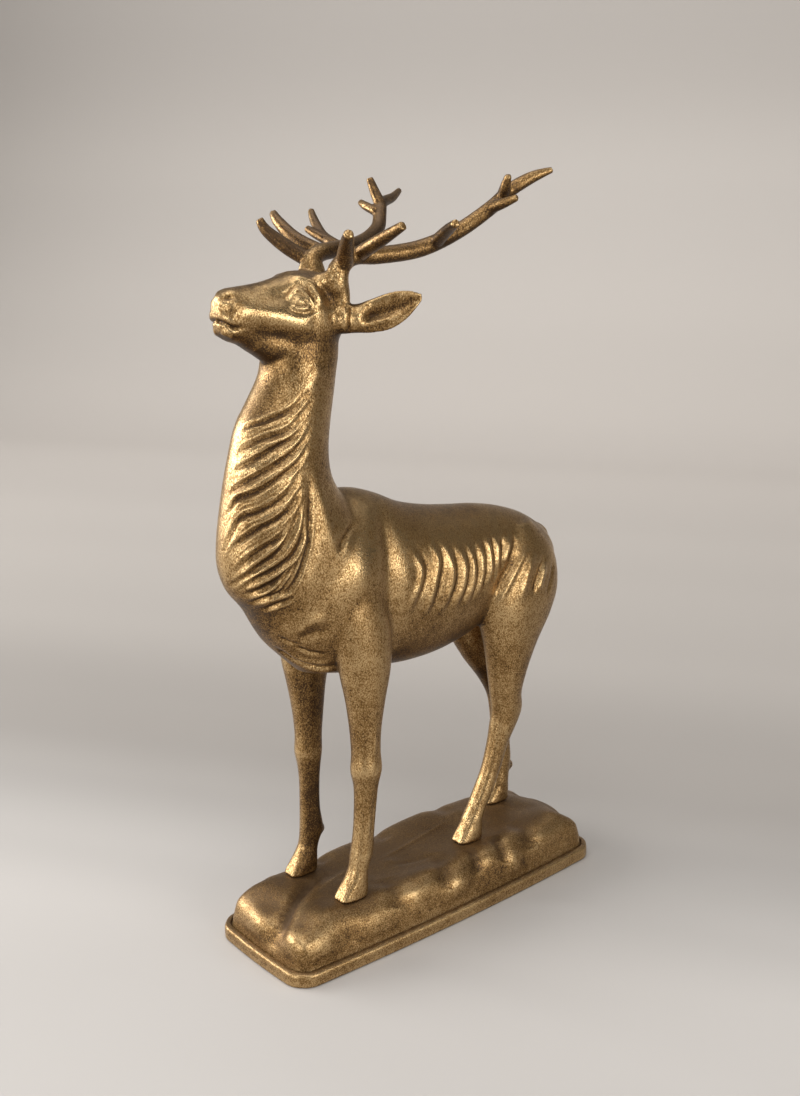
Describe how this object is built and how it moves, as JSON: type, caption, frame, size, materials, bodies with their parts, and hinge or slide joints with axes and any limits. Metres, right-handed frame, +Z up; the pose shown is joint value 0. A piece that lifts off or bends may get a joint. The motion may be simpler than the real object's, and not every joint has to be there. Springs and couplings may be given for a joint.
{
  "type": "deer figurine",
  "caption": "Cast stag with branching antlers, maned chest and ribbed flank, standing square on a rocky oblong plinth with a moulded rim.",
  "frame": {"origin": "the middle of the plinth's flat underside", "axes": "+Z up, the stag faces -Y, its left side is +X"},
  "size_m": [0.0866, 0.1767, 0.2978],
  "materials": {
    "plinth_brass": "sand-cast brass, brown antique patina, rubbed bright on the rim and the high rock",
    "stag_brass": "sand-cast brass, antique patina in the hollows, rubbed bright on the high carving"
  },
  "bodies": {
    "root": {"base": "plinth_brass", "stag": "stag_brass"}
  },
  "joints": []
}
